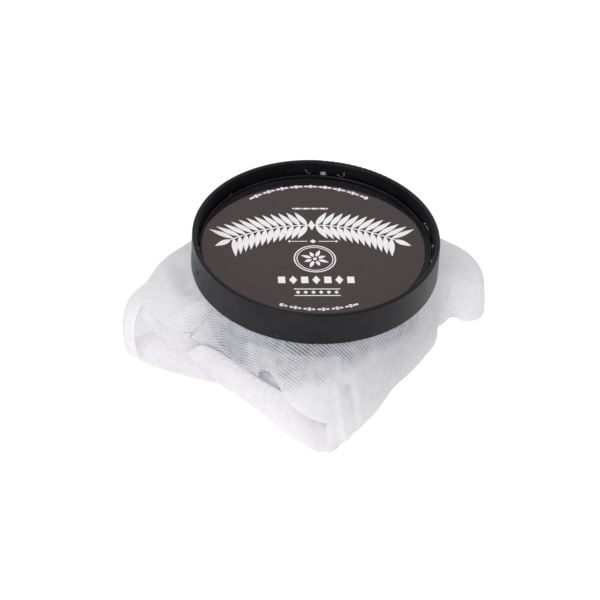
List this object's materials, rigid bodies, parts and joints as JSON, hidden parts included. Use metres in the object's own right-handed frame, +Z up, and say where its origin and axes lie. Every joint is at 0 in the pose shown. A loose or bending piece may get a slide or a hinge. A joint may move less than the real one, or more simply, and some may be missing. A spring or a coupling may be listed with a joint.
{
  "type": "rosin cake in a cloth-wrapped round holder",
  "caption": "Round cake of bow rosin under a recessed, labelled clamp-ring holder, wrapped parcel-fashion in the knitted cloth that the ring grips.",
  "frame": {"origin": "on the holder's axis, at the level of the surface that the wrapped cake rests on", "axes": "+Z up along the holder's axis, -Y towards the player, +X to the right"},
  "size_m": [0.0758, 0.0783, 0.0243],
  "materials": {
    "holder_plastic": "injection-moulded black ABS, satin, with light handling dust",
    "label_print": null,
    "adhesive_foam": "thin double-sided acrylic foam pad",
    "rosin": "poured dark rosin, near-black amber, glassy with a dusty bloom",
    "cotton_knit": "fine white weft-knitted cotton, slightly see-through",
    "hem_yarn": "white overlock thread along the cut edge"
  },
  "bodies": {
    "root": {"outer_ring": "holder_plastic", "inner_pan": "holder_plastic", "label_disc": "label_print", "bond_pad": "adhesive_foam", "rosin_cake": "rosin", "wrap_cloth": "cotton_knit", "hem_thread": "hem_yarn"}
  },
  "joints": []
}
